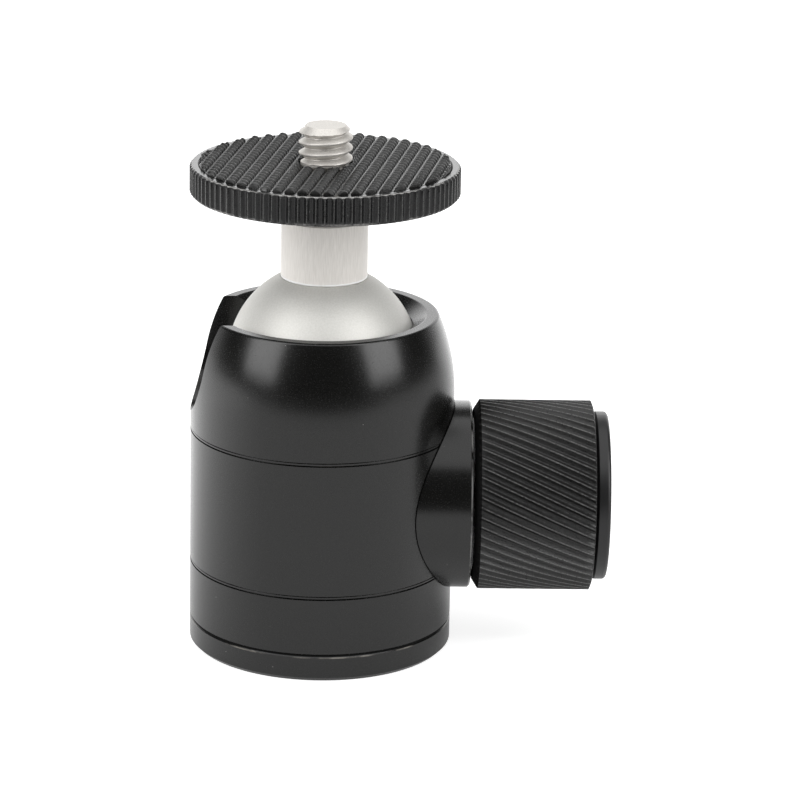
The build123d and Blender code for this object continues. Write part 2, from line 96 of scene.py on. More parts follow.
# Camera: a long lens from the front, a little above the ball
viewpoint = {
    "azimuth": 0.0,  # degrees round the upright axis from the front
    "reach": 430.0,  # mm out from the axis
    "height": 164.0,  # mm above the base
    "pitch": -17.3,
    "yaw": -1.235,
    "roll": -1.1,
    "lens": 169.35,
}


def placeCamera(v):
    lens = bpy.data.cameras.new("viewCamera")
    lens.lens = v["lens"]
    lens.sensor_width = 36
    lens.clip_start = 0.01
    swing = math.radians(v["azimuth"])
    turn = (
        Matrix.Rotation(swing + math.radians(v["yaw"]), 3, "Z")
        @ Matrix.Rotation(math.radians(v["pitch"]), 3, "X")
        @ Matrix.Rotation(math.radians(v["roll"]), 3, "Y")
        @ Matrix.Rotation(math.pi / 2, 3, "X")
    )
    place = Vector((v["reach"] * math.sin(swing), -v["reach"] * math.cos(swing), v["height"])) * mm
    holder = addObject("viewCamera", lens)
    holder.matrix_world = Matrix.Translation(place) @ turn.to_4x4()
    scene.camera = holder


# Studio: white paper below and behind, soft boxes above and on each side, a dim room in front
studio = {
    "floorFront": 0.26,  # metres of paper towards the camera
    "floorBack": 3.0,  # and to the other three sides
    "floorDrop": 0.02,  # mm under the base
    "floorColour": "#d0d0d0",
    "floorGlow": 0.78,
    "floorSheen": (0.28, 1.35),  # what polished surfaces see of that glow, near and behind
    "floorFade": (-0.015, 0.13),  # metres behind the object where the first turns into the second
    "floorLean": -0.6,  # the left side counts as further behind
    "fill": 0.24,  # what the surroundings give to diffuse surfaces
    "roomShade": 0.07,  # how bright polished surfaces see the room in front
    "roomEdge": (0.2, 1.0),  # where the room turns into the paper behind, along Y
    "roomLean": -0.1,  # the left side counts as further behind here too
    "paperEdge": (-0.08, 0.18),  # where that paper ends again, along Z
    "paperRise": 0.5,  # how much higher it ends straight behind
    "paperShade": 1.85,  # how bright polished surfaces see the paper
    "boxes": {  # place in metres, width and height in metres, watts
        "leftBox": ((-0.366, -0.228, 0.285), 0.29, 0.42, 1.65),
        "rightBox": ((0.366, -0.228, 0.285), 0.29, 0.42, 1.65),
        "topBox": ((0.0, -0.03, 0.62), 0.74, 0.96, 3.1),
    },
    "aim": (0, 0, 0.035),
}


def seenDirectly(tree):  # 1 for camera, mirror and glass rays, 0 for diffuse ones
    path = addNode(tree, "ShaderNodeLightPath", {}, {})
    either = addNode(tree, "ShaderNodeMath", {"operation": "MAXIMUM"},
                     {0: path.outputs["Is Camera Ray"], 1: path.outputs["Is Glossy Ray"]})
    return addNode(tree, "ShaderNodeMath", {"operation": "MAXIMUM"},
                   {0: either.outputs[0], 1: path.outputs["Is Transmission Ray"]}).outputs[0]


# White to the camera, a dim room and bright paper to mirrored rays, an even fill to diffuse ones
def makeTent(s):
    world = bpy.data.worlds.new("tent")
    world.use_nodes = True
    scene.world = world
    tree = world.node_tree
    background = tree.nodes["Background"]
    background.inputs["Color"].default_value = hexColour("#ffffff")
    way = addNode(tree, "ShaderNodeTexCoord", {}, {}).outputs["Generated"]
    axes = addNode(tree, "ShaderNodeSeparateXYZ", {}, {0: way}).outputs
    height = addNode(tree, "ShaderNodeMath", {"operation": "MULTIPLY_ADD"},
                     {0: axes["Y"], 1: -s["paperRise"], 2: axes["Z"]})
    paper = addNode(tree, "ShaderNodeMapRange", {"interpolation_type": "SMOOTHSTEP"},
                    {"Value": height.outputs[0],
                     "From Min": s["paperEdge"][0], "From Max": s["paperEdge"][1],
                     "To Min": s["paperShade"], "To Max": s["roomShade"]})
    behind = addNode(tree, "ShaderNodeMath", {"operation": "MULTIPLY_ADD"},
                     {0: axes["X"], 1: s["roomLean"], 2: axes["Y"]})
    room = addNode(tree, "ShaderNodeMapRange", {"interpolation_type": "SMOOTHSTEP"},
                   {"Value": behind.outputs[0],
                    "From Min": s["roomEdge"][0], "From Max": s["roomEdge"][1],
                    "To Min": s["roomShade"], "To Max": paper.outputs[0]})
    path = addNode(tree, "ShaderNodeLightPath", {}, {})
    mirrored = addNode(tree, "ShaderNodeMix", {},
                       {0: path.outputs["Is Glossy Ray"], 2: 1.0, 3: room.outputs[0]})
    strength = addNode(tree, "ShaderNodeMix", {},
                       {0: seenDirectly(tree), 2: s["fill"], 3: mirrored.outputs[0]})
    tree.links.new(strength.outputs[0], background.inputs["Strength"])


def makeWhitePaper(s):  # matt, with a glow that only the camera and polished surfaces see
    made = bpy.data.materials.new("whitePaper")
    made.use_nodes = True
    tree = made.node_tree
    tree.nodes.remove(tree.nodes["Principled BSDF"])
    matt = addNode(tree, "ShaderNodeBsdfDiffuse", {}, {"Color": hexColour(s["floorColour"])})
    place = addNode(tree, "ShaderNodeTexCoord", {}, {}).outputs["Object"]
    axes = addNode(tree, "ShaderNodeSeparateXYZ", {}, {0: place}).outputs
    behind = addNode(tree, "ShaderNodeMath", {"operation": "MULTIPLY_ADD"},
                     {0: axes["X"], 1: s["floorLean"], 2: axes["Y"]})
    sheen = addNode(tree, "ShaderNodeMapRange", {},
                    {"Value": behind.outputs[0],
                     "From Min": s["floorFade"][0], "From Max": s["floorFade"][1],
                     "To Min": s["floorSheen"][0], "To Max": s["floorSheen"][1]})
    path = addNode(tree, "ShaderNodeLightPath", {}, {})
    level = addNode(tree, "ShaderNodeMix", {},
                    {0: path.outputs["Is Glossy Ray"], 2: s["floorGlow"], 3: sheen.outputs[0]})
    glow = addNode(tree, "ShaderNodeMath", {"operation": "MULTIPLY"},
                   {0: seenDirectly(tree), 1: level.outputs[0]})
    light = addNode(tree, "ShaderNodeEmission", {}, {"Strength": glow.outputs[0]})
    both = addNode(tree, "ShaderNodeAddShader", {}, {0: matt.outputs[0], 1: light.outputs[0]})
    tree.links.new(both.outputs[0], tree.nodes["Material Output"].inputs["Surface"])
    return made


def layFloor(s):
    side, front, low = s["floorBack"], s["floorFront"], -s["floorDrop"] * mm
    sheet = bpy.data.meshes.new("floor")
    corners = [(-side, -front, low), (side, -front, low), (side, side, low), (-side, side, low)]
    sheet.from_pydata(corners, [], [(0, 1, 2, 3)])
    sheet.materials.append(makeWhitePaper(s))
    floor = addObject("floor", sheet)


def hangBoxes(s):
    for name, (place, width, height, watts) in s["boxes"].items():
        lamp = bpy.data.lights.new(name, "AREA")
        lamp.shape = "RECTANGLE"
        lamp.size = width
        lamp.size_y = height
        lamp.energy = watts
        away = (Vector(place) - Vector(s["aim"])).to_track_quat("Z", "Y")
        addObject(name, lamp).matrix_world = Matrix.Translation(place) @ away.to_matrix().to_4x4()


placeCamera(viewpoint)
makeTent(studio)
layFloor(studio)
hangBoxes(studio)
scene.view_settings.view_transform = "Standard"
print("camera and studio set")


def startMaterial(name, colour, settings):  # settings go on the shader's own sockets
    made = bpy.data.materials.new(name)
    made.use_nodes = True
    tree = made.node_tree
    shader = tree.nodes["Principled BSDF"]
    shader.inputs["Base Color"].default_value = hexColour(colour)
    for key, value in settings.items():
        shader.inputs[key].default_value = value
    place = addNode(tree, "ShaderNodeTexCoord", {}, {}).outputs["Object"]
    return made, tree, shader, place


noiseSpan = (0.3, 0.7)  # nearly all values of a noise texture lie between these

# What dust and handling leave on a finish, and the painted highlights on crests and edges
marks = {
    "dustCut": 0.6,  # only cells whose random grey is above this hold a dot
    "dotEdge": (0.3, 0.5),  # of a dot's size: solid out to the first, gone at the second
    "crestSpan": (0.38, 0.60),  # values of the fine noise from the faintest paled crests to the fully paled
    "crestLeast": 0.2,  # how far the faintest ones are paled
    "patchSize": 4.0,  # mm, of the patches that an edge is paled in
    "patchSpan": (0.60, 0.73),  # values of the broad noise where such a patch starts and is full
    "coverShift": 0.3,  # how much lower they are on an edge with full cover
    "solidShare": 0.5,  # of the half width of a paled edge, before it fades out
}


def dustOver(tree, place, colour, d):  # dots that the surface holds
    cells = addNode(tree, "ShaderNodeTexVoronoi", {},
                    {"Vector": place, "Scale": 1 / (d["spacing"] * mm)}).outputs
    full, gone = (d["size"] / d["spacing"] * edge for edge in marks["dotEdge"])
    dot = addNode(tree, "ShaderNodeMapRange", {},
                  {"Value": cells["Distance"], "From Min": full, "From Max": gone,
                   "To Min": 1.0, "To Max": 0.0})
    chosen = addNode(tree, "ShaderNodeMath", {"operation": "GREATER_THAN"},
                     {0: cells["Color"], 1: marks["dustCut"]})
    share = addNode(tree, "ShaderNodeMath", {"operation": "MULTIPLY"},
                    {0: dot.outputs[0], 1: chosen.outputs[0]})
    return addNode(tree, "ShaderNodeMix", {"data_type": "RGBA"},
                   {0: share.outputs[0], 6: colour, 7: hexColour(d["colour"])}).outputs[2]


def rubCrests(tree, place, noise, colour, c):  # ribs paler where they stand furthest from their axis: partly wear, partly painted highlight
    off = addNode(tree, "ShaderNodeVectorMath", {"operation": "SUBTRACT"}, {0: place, 1: c["axis"]})
    flat = addNode(tree, "ShaderNodeVectorMath", {"operation": "MULTIPLY"},
                   {0: off.outputs[0], 1: c["across"]})
    radius = addNode(tree, "ShaderNodeVectorMath", {"operation": "LENGTH"}, {0: flat.outputs[0]})
    near = addNode(tree, "ShaderNodeMapRange", {},
                   {"Value": radius.outputs["Value"], "From Min": c["start"] * mm,
                    "From Max": c["end"] * mm})
    uneven = addNode(tree, "ShaderNodeMapRange", {},
                     {"Value": noise, "From Min": marks["crestSpan"][0],
                      "From Max": marks["crestSpan"][1], "To Min": marks["crestLeast"]})
    share = addNode(tree, "ShaderNodeMath", {"operation": "MULTIPLY"},
                    {0: near.outputs[0], 1: uneven.outputs[0]})
    return addNode(tree, "ShaderNodeMix", {"data_type": "RGBA"},
                   {0: share.outputs[0], 6: colour, 7: hexColour(c["colour"])}).outputs[2]


def rubEdge(tree, place, colour, e):  # an edge paled in patches, wider ones for more cover: wear on some edges, a painted highlight on others
    along = addNode(tree, "ShaderNodeVectorMath", {"operation": "DOT_PRODUCT"},
                    {0: place, 1: e["along"]})
    off = addNode(tree, "ShaderNodeMath", {"operation": "SUBTRACT"},
                  {0: along.outputs["Value"], 1: e["middle"] * mm})
    away = addNode(tree, "ShaderNodeMath", {"operation": "ABSOLUTE"}, {0: off.outputs[0]})
    band = addNode(tree, "ShaderNodeMapRange", {},
                   {"Value": away.outputs[0], "From Min": e["half"] * mm * marks["solidShare"],
                    "From Max": e["half"] * mm, "To Min": 1.0, "To Max": 0.0})
    broad = addNode(tree, "ShaderNodeTexNoise", {},
                    {"Vector": place, "Scale": 1 / (marks["patchSize"] * mm), "Detail": 5.0})
    start, full = (value - marks["coverShift"] * e["cover"] for value in marks["patchSpan"])
    patch = addNode(tree, "ShaderNodeMapRange", {},
                    {"Value": broad.outputs[0], "From Min": start, "From Max": full})
    share = addNode(tree, "ShaderNodeMath", {"operation": "MULTIPLY"},
                    {0: band.outputs[0], 1: patch.outputs[0]})
    return addNode(tree, "ShaderNodeMix", {"data_type": "RGBA"},
                   {0: share.outputs[0], 6: colour, 7: hexColour(e["colour"])}).outputs[2]


def polishEnd(tree, place, roughness, p):  # smoother towards one height
    height = addNode(tree, "ShaderNodeSeparateXYZ", {}, {0: place}).outputs["Z"]
    share = addNode(tree, "ShaderNodeMapRange", {},
                    {"Value": height, "From Min": p["start"] * mm, "From Max": p["end"] * mm})
    return addNode(tree, "ShaderNodeMix", {},
                   {0: share.outputs[0], 2: roughness, 3: p["roughness"]}).outputs[0]


# Fine noise on roughness, colour and height, then what dust and handling have left, and painted
# highlights
def addFinish(tree, shader, place, f):
    vector = addNode(tree, "ShaderNodeMapping", {},
                     {"Vector": place, "Scale": f.get("stretch", (1, 1, 1))}).outputs[0]
    noise = addNode(tree, "ShaderNodeTexNoise", {},
                    {"Vector": vector, "Scale": 1 / (f["grain"] * mm), "Detail": 3.0}).outputs[0]
    roughness = addNode(tree, "ShaderNodeMapRange", {},
                        {"Value": noise, "From Min": noiseSpan[0], "From Max": noiseSpan[1],
                         "To Min": f["roughness"][0], "To Max": f["roughness"][1]}).outputs[0]
    tint = addNode(tree, "ShaderNodeValToRGB", {}, {0: noise})
    for end, position, text in zip(tint.color_ramp.elements, noiseSpan, f["colours"]):
        end.position = position
        end.color = hexColour(text)
    colour = tint.outputs[0]
    if "dust" in f:
        colour = dustOver(tree, place, colour, f["dust"])
    if "crests" in f:
        colour = rubCrests(tree, place, noise, colour, f["crests"])
    for edge in f.get("edges", ()):
        colour = rubEdge(tree, place, colour, edge)
    if "polish" in f:
        roughness = polishEnd(tree, place, roughness, f["polish"])
    tree.links.new(colour, shader.inputs["Base Color"])
    tree.links.new(roughness, shader.inputs["Roughness"])
    bump = addNode(tree, "ShaderNodeBump", {},
                   {"Strength": f["bump"], "Distance": f["height"] * mm, "Height": noise})
    tree.links.new(bump.outputs[0], shader.inputs["Normal"])


# Each finish: grain is the size of its texture in mm and height its depth, scaled by bump;
# roughness and colours are given for the hollows of the texture and for its tops. Blasting,
# brushing and pickling really leave 0.02 to 0.06 mm, and are drawn coarser so that they show.
# A paled edge, worn on some edges and a painted highlight on others, has its middle and half its
# width in mm along a direction, and cover is how unbroken it is. Pale crests, partly wear and partly
# painted highlight, run between two radii in mm, and polish between two heights.
finishes = {
    # anodised aluminium, blasted before dyeing: near black, satin, with a fine tooth
    "anodisedAluminium": {
        "base": "#070707", "grain": 0.14, "height": 0.006, "bump": 0.28, "roughness": (0.19, 0.29),
        "colours": ("#050504", "#0a0a09"), "shader": {"IOR": 1.5},
        "dust": {"spacing": 1.6, "size": 0.11, "colour": "#8c8c8a"},
        "edges": [
            # partly wear, partly a painted highlight: the light line on the base plate's upper
            # chamfer
            {"along": upAxis, "middle": seamHeight - 0.25, "half": 0.10,
             "colour": "#68655f", "cover": 0.35},  # the base plate's upper edge
            {"along": upAxis, "middle": grooveTops[1] - 0.38, "half": 0.08,
             "colour": "#5a5751", "cover": 0.3},  # the foot of the upper groove
            # painted highlight: the light line on the chamfer of the collar's end
            {"along": lockAxis, "middle": collarEnd - 0.12, "half": 0.12,
             "colour": "#6a6a69", "cover": 0.75},  # the collar's end at the knob
        ],
    },
    # turned and anodised: smoother than the blasted housing
    "turnedAnodised": {
        "base": "#070708", "grain": 0.10, "height": 0.003, "bump": 0.4, "roughness": (0.22, 0.32),
        "colours": ("#050506", "#0a0a0b"), "shader": {"IOR": 1.5},
    },
    # turned, knurled and anodised: a smooth cut ring on top with a painted highlight along its edge,
    # and crests paled partly by finger wear and partly as painted highlight
    "knurledAnodised": {
        "base": "#080809", "grain": 0.15, "height": 0.014, "bump": 0.8, "roughness": (0.24, 0.38),
        "colours": ("#030303", "#121213"), "shader": {"IOR": 1.5},
        "dust": {"spacing": 0.8, "size": 0.12, "colour": "#6f6f6d"},
        # the knurl's crests paler: partly finger wear, partly painted highlight
        "crests": {"axis": (0, 0, 0), "across": (1, 1, 0), "start": plateRadius - 0.06,
                   "end": plateRadius, "colour": "#454544"},
        "edges": [
            # painted reflection: the knurl's lower chamfer made pale as if it caught the floor
            {"along": upAxis, "middle": plateLow.z / mm + 0.15, "half": 0.15,
             "colour": "#6e6d6b", "cover": 0.43},  # the lower edge of the knurl
            # painted highlight along the knurl's top chamfer
            {"along": upAxis, "middle": plateTop - 0.09, "half": 0.08,
             "colour": "#8c8b89", "cover": 0.8},  # its upper edge
        ],
        "polish": {"start": plateTop - 0.10, "end": plateTop - 0.03, "roughness": 0.14},
    },
    # anodised over a fine blast, for the knob's cap: softer sheen than the housing
    "satinAnodised": {
        "base": "#0a0a0b", "grain": 0.12, "height": 0.005, "bump": 0.4, "roughness": (0.36, 0.44),
        "colours": ("#08080a", "#0e0e0f"), "shader": {"IOR": 1.5},
    },
    # bead-blasted aluminium under clear anodising: pale, even and milky, with little gleam
    "blastedAluminium": {
        "base": "#d8d7d4", "grain": 0.20, "height": 0.020, "bump": 0.9, "roughness": (0.54, 0.64),
        "colours": ("#d2d1cc", "#dddcd8"), "shader": {"Metallic": 0.55},
    },
    # stainless post, brushed lengthways: pale and soft, with fine upright lines and a painted
    # highlight at its foot
    "brushedStainless": {
        "base": "#eae6e1", "grain": 0.08, "height": 0.004, "bump": 0.5, "roughness": (0.40, 0.54),
        "colours": ("#e2ded8", "#f2eee9"), "shader": {"Metallic": 0.12, "Specular IOR Level": 0.3},
        "stretch": (1, 1, 0.05),  # draws the texture out along the post
        # painted highlight: a white line for the light that the foot's chamfer catches
        "edges": [{"along": upAxis, "middle": neckFoot + 0.10, "half": 0.20,
                   "colour": "#ffffff", "cover": 1.0}],
    },
    # turned and pickled stainless steel of the threads: whitish, with a soft gleam
    "turnedStainless": {
        "base": "#cfccc7", "grain": 0.10, "height": 0.004, "bump": 0.6, "roughness": (0.42, 0.54),
        "colours": ("#bfbbb5", "#dad7d2"), "shader": {"Metallic": 0.6},
    },
    # machined steel of the inner pieces, a little oily and darker
    "machinedSteel": {
        "base": "#8e8d8a", "grain": 0.12, "height": 0.002, "bump": 0.4, "roughness": (0.28, 0.40),
        "colours": ("#7f7e7b", "#9a9996"), "shader": {"Metallic": 1.0},
    },
    # black oxide on steel: dark, thin, slightly blue
    "blackOxideSteel": {
        "base": "#26272a", "grain": 0.10, "height": 0.002, "bump": 0.4, "roughness": (0.32, 0.44),
        "colours": ("#1f2022", "#2d2e31"), "shader": {"Metallic": 1.0},
    },
    # machined aluminium, bare: silvery, with a fine even tooth
    "machinedAluminium": {
        "base": "#b4b5b6", "grain": 0.12, "height": 0.002, "bump": 0.4, "roughness": (0.26, 0.36),
        "colours": ("#a8a9aa", "#bcbdbe"), "shader": {"Metallic": 1.0},
    },
    # turned brass, slightly tarnished
    "turnedBrass": {
        "base": "#b8954f", "grain": 0.12, "height": 0.002, "bump": 0.4, "roughness": (0.25, 0.36),
        "colours": ("#a98746", "#c3a05a"), "shader": {"Metallic": 1.0},
    },
    # moulded acetal: milky, faintly waxy
    "acetal": {
        "base": "#dcd9d0", "grain": 0.30, "height": 0.003, "bump": 0.3, "roughness": (0.36, 0.44),
        "colours": ("#d6d3ca", "#e2dfd7"), "shader": {"IOR": 1.48},
    },
    # moulded nitrile rubber of the grip: dull, with a fine pebbled skin
    "grippyRubber": {
        "base": "#0c0c0b", "grain": 0.20, "height": 0.050, "bump": 1.0, "roughness": (0.26, 0.50),
        "colours": ("#030303", "#191918"), "shader": {"IOR": 1.52},
        "dust": {"spacing": 1.3, "size": 0.10, "colour": "#7a7a78"},
        # the grip's crests paler: partly wear, partly painted highlight
        "crests": {"axis": (0, 0, lockHeight * mm), "across": (0, 1, 1), "start": gripRadius - 0.08,
                   "end": gripRadius, "colour": "#565655"},
    },
    # dead flat: the same rubber where the sleeve was trimmed, dark there also as painted shade from
    # the collar, and the ring in the seam under the housing, painted shade for the seam's gap
    "trimmedRubber": {
        "base": "#030303", "grain": 0.15, "height": 0.010, "bump": 0.6, "roughness": (0.80, 0.92),
        "colours": ("#020202", "#050505"), "shader": {"Specular IOR Level": 0.15},
    },
    # nitrile rubber of the pad, pressed in a polished mould: some sheen in the flats
    "padRubber": {
        "base": "#0b0b0b", "grain": 0.16, "height": 0.022, "bump": 0.9, "roughness": (0.28, 0.46),
        "colours": ("#0f0f0f", "#242423"), "shader": {"IOR": 1.52},
        "dust": {"spacing": 1.1, "size": 0.12, "colour": "#8a8a88"},
        "polish": {"start": plateTop + 0.12, "end": plateTop + 0.03, "roughness": 0.12},
    },
}
materials = {}
for name, f in finishes.items():
    made, tree, shader, place = startMaterial(name, f["base"], f["shader"])
    addFinish(tree, shader, place, f)
    materials[name] = made

finishOf = {
    "main_housing": "anodisedAluminium", "base_plate": "anodisedAluminium",
    "base_screws": "blackOxideSteel", "reducer_bush": "turnedBrass",
    "lock_collar": "anodisedAluminium", "key_pin": "machinedSteel", "disc_spring": "machinedSteel",
    "brake_cup": "machinedAluminium", "cup_liner": "acetal", "lock_wedge": "machinedSteel",
    "lock_screw": "machinedSteel", "knob_core": "turnedAnodised", "knob_grip": "grippyRubber",
    "knob_washer": "machinedSteel", "knob_screw": "blackOxideSteel", "knob_cap": "satinAnodised",
    "ball": "blastedAluminium", "neck": "brushedStainless", "camera_stud": "turnedStainless",
    "plate_bush": "turnedAnodised", "camera_plate": "knurledAnodised", "plate_pad": "padRubber",
}
for node, finish in finishOf.items():
    cad[node].material_slots[0].material = materials[finish]
print("materials made:", len(materials))


def newGeometryTree(name, sizes):  # sizes: input name and socket type
    tree = bpy.data.node_groups.new(name, "GeometryNodeTree")
    face = tree.interface
    face.new_socket("Geometry", in_out="INPUT", socket_type="NodeSocketGeometry")
    for label, kind in sizes.items():
        face.new_socket(label, in_out="INPUT", socket_type="NodeSocket" + kind)
    face.new_socket("Geometry", in_out="OUTPUT", socket_type="NodeSocketGeometry")
    return tree, addNode(tree, "NodeGroupInput", {}, {}).outputs


def endGeometryTree(tree, shape, material):
    real = addNode(tree, "GeometryNodeRealizeInstances", {}, {"Geometry": shape})
    painted = addNode(tree, "GeometryNodeSetMaterial", {},
                      {"Geometry": real.outputs[0], "Material": material})
    addNode(tree, "NodeGroupOutput", {}, {0: painted.outputs[0]})


def smoothFaces(mesh, sharpAngle):  # smooth, with edges sharper than this many degrees kept crisp
    mesh.shade_smooth()
    mesh.set_sharp_from_angle(angle=math.radians(sharpAngle))


def growMesh(name, blank, tree, sizes, sharpAngle):  # runs the tree once and keeps a plain mesh
    holder = addObject(name, blank)
    step = holder.modifiers.new("grow", "NODES")
    step.node_group = tree
    for item in tree.interface.items_tree:
        if item.in_out == "INPUT" and item.name in sizes:
            step[item.identifier] = sizes[item.name]
    graph = bpy.context.evaluated_depsgraph_get()
    mesh = bpy.data.meshes.new_from_object(holder.evaluated_get(graph))
    holder.modifiers.remove(step)
    holder.data = mesh
    mesh.name = name
    smoothFaces(mesh, sharpAngle)
    return holder


def evenAngles(count):
    return [fullTurn * k / count for k in range(count)]


# Turns a profile of (radius, height) points in mm about the Z axis. A closed profile runs
# up its outer side, so that faces point outwards. twist turns each ring, in radians a mm.
def turnProfile(name, profile, angles, twist=0.0, closed=True):
    work = bmesh.new()
    rings = []
    for radius, height in profile:
        turned = [a + twist * height for a in angles] if radius else [0.0]
        points = [(radius * mm * math.cos(a), radius * mm * math.sin(a), height * mm) for a in turned]
        rings.append([work.verts.new(point) for point in points])
    pairs = list(zip(rings, rings[1:]))
    if closed:
        pairs.append((rings[-1], rings[0]))
    for low, high in pairs:
        for i in range(len(angles)):
            j = i + 1
            corners = (low[i % len(low)], low[j % len(low)], high[j % len(high)], high[i % len(high)])
            work.faces.new(dict.fromkeys(corners))  # a ring that is one point gives triangles
    bmesh.ops.recalc_face_normals(work, faces=work.faces)
    mesh = bpy.data.meshes.new(name)
    work.to_mesh(mesh)
    work.free()
    return mesh


def fillProfile(corners):  # (radius, height, steps to here) to plain points
    points = [corners[0][:2]]
    for (r0, z0, *_), (r1, z1, steps) in zip(corners, corners[1:]):
        points += [(r0 + (r1 - r0) * k / steps, z0 + (z1 - z0) * k / steps)
                   for k in range(1, steps + 1)]
    return points


def ribAngles(count, crestShare, valleySteps):  # puts vertices on each rib's two crest edges
    half = crestShare / 2
    valley = [half + (1 - crestShare) * k / valleySteps for k in range(1, valleySteps)]
    shares = [-half, half] + valley
    return [fullTurn * (rib + share) / count for rib in range(count) for share in shares]


# Cuts flutes or a thread into a turned blank: a point outside the flute's curve moves in to it
def makeRibTree(material):
    tree, given = newGeometryTree("cutRibs", {
        "Rib count": "Float", "Phase per metre": "Float", "Crest radius": "Float",
        "Flute depth": "Float", "Crest share": "Float", "Floor share": "Float", "Roundness": "Float"})
    position = addNode(tree, "GeometryNodeInputPosition", {}, {}).outputs[0]
    axes = addNode(tree, "ShaderNodeSeparateXYZ", {}, {0: position}).outputs
    angle = addNode(tree, "ShaderNodeMath", {"operation": "ARCTAN2"},
                    {0: axes[1], 1: axes[0]}).outputs[0]
    turns = addNode(tree, "ShaderNodeMath", {"operation": "DIVIDE"},
                    {0: angle, 1: fullTurn}).outputs[0]
    shift = addNode(tree, "ShaderNodeMath", {"operation": "MULTIPLY"},
                    {0: axes[2], 1: given["Phase per metre"]}).outputs[0]
    ribs = addNode(tree, "ShaderNodeMath", {"operation": "MULTIPLY"},
                   {0: turns, 1: given["Rib count"]}).outputs[0]
    phase = addNode(tree, "ShaderNodeMath", {"operation": "SUBTRACT"}, {0: ribs, 1: shift}).outputs[0]
    away = addNode(tree, "ShaderNodeMath", {"operation": "PINGPONG"}, {0: phase, 1: 0.5}).outputs[0]
    crestEdge = addNode(tree, "ShaderNodeMath", {"operation": "MULTIPLY"},
                        {0: given["Crest share"], 1: 0.5}).outputs[0]
    floorEdge = addNode(tree, "ShaderNodeMath", {"operation": "MULTIPLY_ADD"},
                        {0: given["Floor share"], 1: -0.5, 2: 0.5}).outputs[0]
    rise = addNode(tree, "ShaderNodeMapRange", {},
                   {"Value": away, "From Min": crestEdge, "From Max": floorEdge,
                    "To Min": 1.0, "To Max": 0.0}).outputs[0]
    curve = addNode(tree, "ShaderNodeMath", {"operation": "POWER"},
                    {0: rise, 1: given["Roundness"]}).outputs[0]
    share = addNode(tree, "ShaderNodeMath", {"operation": "SUBTRACT"}, {0: 1.0, 1: curve}).outputs[0]
    cut = addNode(tree, "ShaderNodeMath", {"operation": "MULTIPLY"},
                  {0: share, 1: given["Flute depth"]}).outputs[0]
    limit = addNode(tree, "ShaderNodeMath", {"operation": "SUBTRACT"},
                    {0: given["Crest radius"], 1: cut}).outputs[0]
    flat = addNode(tree, "ShaderNodeCombineXYZ", {}, {0: axes[0], 1: axes[1]}).outputs[0]
    radius = addNode(tree, "ShaderNodeVectorMath", {"operation": "LENGTH"},
                     {0: flat}).outputs["Value"]
    kept = addNode(tree, "ShaderNodeMath", {"operation": "MINIMUM"}, {0: radius, 1: limit}).outputs[0]
    ratio = addNode(tree, "ShaderNodeMath", {"operation": "DIVIDE"}, {0: kept, 1: radius}).outputs[0]
    pulled = addNode(tree, "ShaderNodeVectorMath", {"operation": "SCALE"},
                     {0: flat, "Scale": ratio}).outputs[0]
    pulledAxes = addNode(tree, "ShaderNodeSeparateXYZ", {}, {0: pulled}).outputs
    target = addNode(tree, "ShaderNodeCombineXYZ", {},
                     {0: pulledAxes[0], 1: pulledAxes[1], 2: axes[2]}).outputs[0]
    moved = addNode(tree, "GeometryNodeSetPosition", {},
                    {"Geometry": given["Geometry"], "Position": target})
    endGeometryTree(tree, moved.outputs[0], material)
    return tree


# Camera plate: a knurled disc with a flat rim round the pad
plate = {
    "radius": plateRadius, "under": plateLow.z / mm, "top": plateTop,
    "rim": 1.05, "sink": 0.9, "hole": 4.95, "topEdge": 0.30, "underEdge": 0.35, "rimEdge": 0.08,
    "teeth": 96, "toothDepth": 0.38, "crestShare": 0.10, "valleySteps": 10, "roundness": 2.0,
    "sharpAngle": 32,
}


def makePlate(p):
    floor = p["top"] - p["sink"]
    inner = p["radius"] - p["rim"]
    corners = [
        (p["hole"], p["under"]), (p["radius"] - p["underEdge"], p["under"], 3),
        (p["radius"], p["under"] + p["underEdge"], 7), (p["radius"], p["top"] - p["topEdge"], 3),
        (p["radius"] - p["topEdge"], p["top"], 7), (inner + p["rimEdge"], p["top"], 2),
        (inner, p["top"] - p["rimEdge"], 1), (inner, floor, 1), (p["hole"], floor, 1),
    ]
    angles = ribAngles(p["teeth"], p["crestShare"], p["valleySteps"])
    blank = turnProfile("plateBlank", fillProfile(corners), angles)
    sizes = {"Rib count": float(p["teeth"]), "Phase per metre": 0.0, "Crest radius": p["radius"] * mm,
             "Flute depth": p["toothDepth"] * mm, "Crest share": p["crestShare"], "Floor share": 0.0,
             "Roundness": p["roundness"]}
    tree = makeRibTree(materials["knurledAnodised"])
    piece = growMesh("knurledPlate", blank, tree, sizes, p["sharpAngle"])
    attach(piece, "plate")
    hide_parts("camera_plate")


makePlate(plate)
print("knurled plate made")

# Knob grip: a sleeve with helical ribs, turned upright and then laid along the lock axis
grip = {
    "radius": gripRadius, "start": gripLow.x / mm, "length": (gripHigh.x - gripLow.x) / mm,
    "bore": 9.15, "innerBevel": (0.72, 1.15), "outerBevel": (0.20, 0.55),  # along the axis, across it
    "ribs": 60, "ribDepth": 0.50, "crestShare": 0.10, "valleySteps": 11, "roundness": 2.0,
    "twist": 33,  # degrees from end to end
    "trimMargin": 0.02,  # mm, from the bevel's edge to the last face of the trimmed end, which is darkened as painted shade
    "sharpAngle": 32,
}


